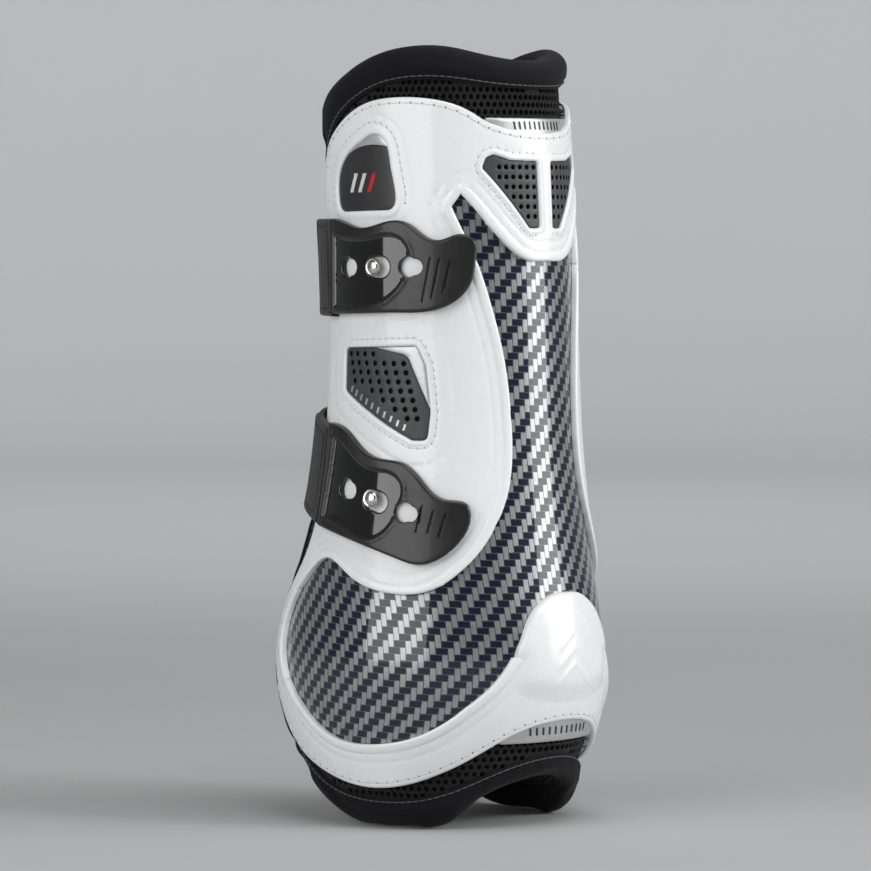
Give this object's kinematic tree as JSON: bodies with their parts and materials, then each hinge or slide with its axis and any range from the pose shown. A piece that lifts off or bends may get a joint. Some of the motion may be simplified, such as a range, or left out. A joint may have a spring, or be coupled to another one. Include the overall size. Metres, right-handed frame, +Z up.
{
  "type": "tendon boot",
  "caption": "Open-front horse tendon boot: moulded frame over a woven strike plate and padded liner, with two elastic straps closing on studs.",
  "frame": {"origin": "on the leg's axis, at the level of the floor that the boot stands on", "axes": "+Z up the leg, +X to the back of the leg where the tendon runs, -Y to the outer side where the strap ends and studs are"},
  "size_m": [0.1084, 0.1026, 0.2631],
  "materials": {
    "shell_white": "moulded white urethane, satin gloss",
    "woven_plate": "glossy resin over a two-by-two twill of silver and navy tows",
    "reflective_silver": "silver reflective film",
    "vent_grey": "perforated soft plastic, matte",
    "badge_dark": "moulded soft plastic, satin",
    "air_mesh": "three-layer air mesh with honeycomb openings",
    "neoprene": "perforated foam rubber",
    "lining_cloth": "smooth knitted lining",
    "binding_cloth": "stretch binding, matte",
    "strap_tpu": "glossy moulded urethane",
    "elastic_web": "ribbed elastic webbing",
    "cuff_cloth": "coarse woven tape, box stitched",
    "steel": "polished steel"
  },
  "bodies": {
    "root": {"bottom_binding": "binding_cloth", "bottom_label": "reflective_silver", "fetlock_guard": "shell_white", "inner_back_vent": "vent_grey", "inner_badge": "badge_dark", "inner_badge_crescent": "reflective_silver", "inner_front_binding": "binding_cloth", "inner_lining": "lining_cloth", "inner_side_vent": "vent_grey", "inner_vent_sliver": "reflective_silver", "lower_anchor_plate": "strap_tpu", "lower_anchor_rivets": "steel", "lower_strap_anchor": "elastic_web", "lower_stud": "steel", "neoprene_core": "neoprene", "outer_back_vent": "vent_grey", "outer_badge": "badge_dark", "outer_badge_crescent": "reflective_silver", "outer_frame": "shell_white", "outer_front_binding": "binding_cloth", "outer_side_vent": "vent_grey", "outer_vent_sliver": "reflective_silver", "spacer_mesh": "air_mesh", "strike_plate": "woven_plate", "stud_washers": "steel", "top_binding": "binding_cloth", "top_label": "reflective_silver", "upper_anchor_plate": "strap_tpu", "upper_anchor_rivets": "steel", "upper_strap_anchor": "elastic_web", "upper_stud": "steel"},
    "upper_strap": {"upper_strap_elastic": "elastic_web"},
    "upper_tab": {"upper_strap_cuff": "cuff_cloth", "upper_strap_tab": "strap_tpu"},
    "lower_strap": {"lower_strap_elastic": "elastic_web"},
    "lower_tab": {"lower_strap_cuff": "cuff_cloth", "lower_strap_tab": "strap_tpu"}
  },
  "joints": [
    {"name": "upper_strap_hinge", "type": "hinge", "parent": "root", "child": "upper_strap", "pos_m": [-0.03921, 0.02547, 0.188], "axis": [0.0374, -0.0243, -0.999], "range_deg": [0, 75]},
    {"name": "upper_tab_hinge", "type": "hinge", "parent": "upper_strap", "child": "upper_tab", "pos_m": [-0.03803, -0.02814, 0.188], "axis": [0.0317, 0.0235, -0.9992], "range_deg": [0, 110]},
    {"name": "lower_strap_hinge", "type": "hinge", "parent": "root", "child": "lower_strap", "pos_m": [-0.04143, 0.02691, 0.1226], "axis": [-0.1108, 0.072, -0.9912], "range_deg": [0, 75]},
    {"name": "lower_tab_hinge", "type": "hinge", "parent": "lower_strap", "child": "lower_tab", "pos_m": [-0.04018, -0.02973, 0.12226], "axis": [-0.1047, -0.0775, -0.9915], "range_deg": [0, 110]}
  ],
  "couplings": [
    {"joint": "upper_strap_hinge", "follows": "upper_tab_hinge", "ratio": 0.68},
    {"joint": "lower_strap_hinge", "follows": "lower_tab_hinge", "ratio": 0.68}
  ]
}
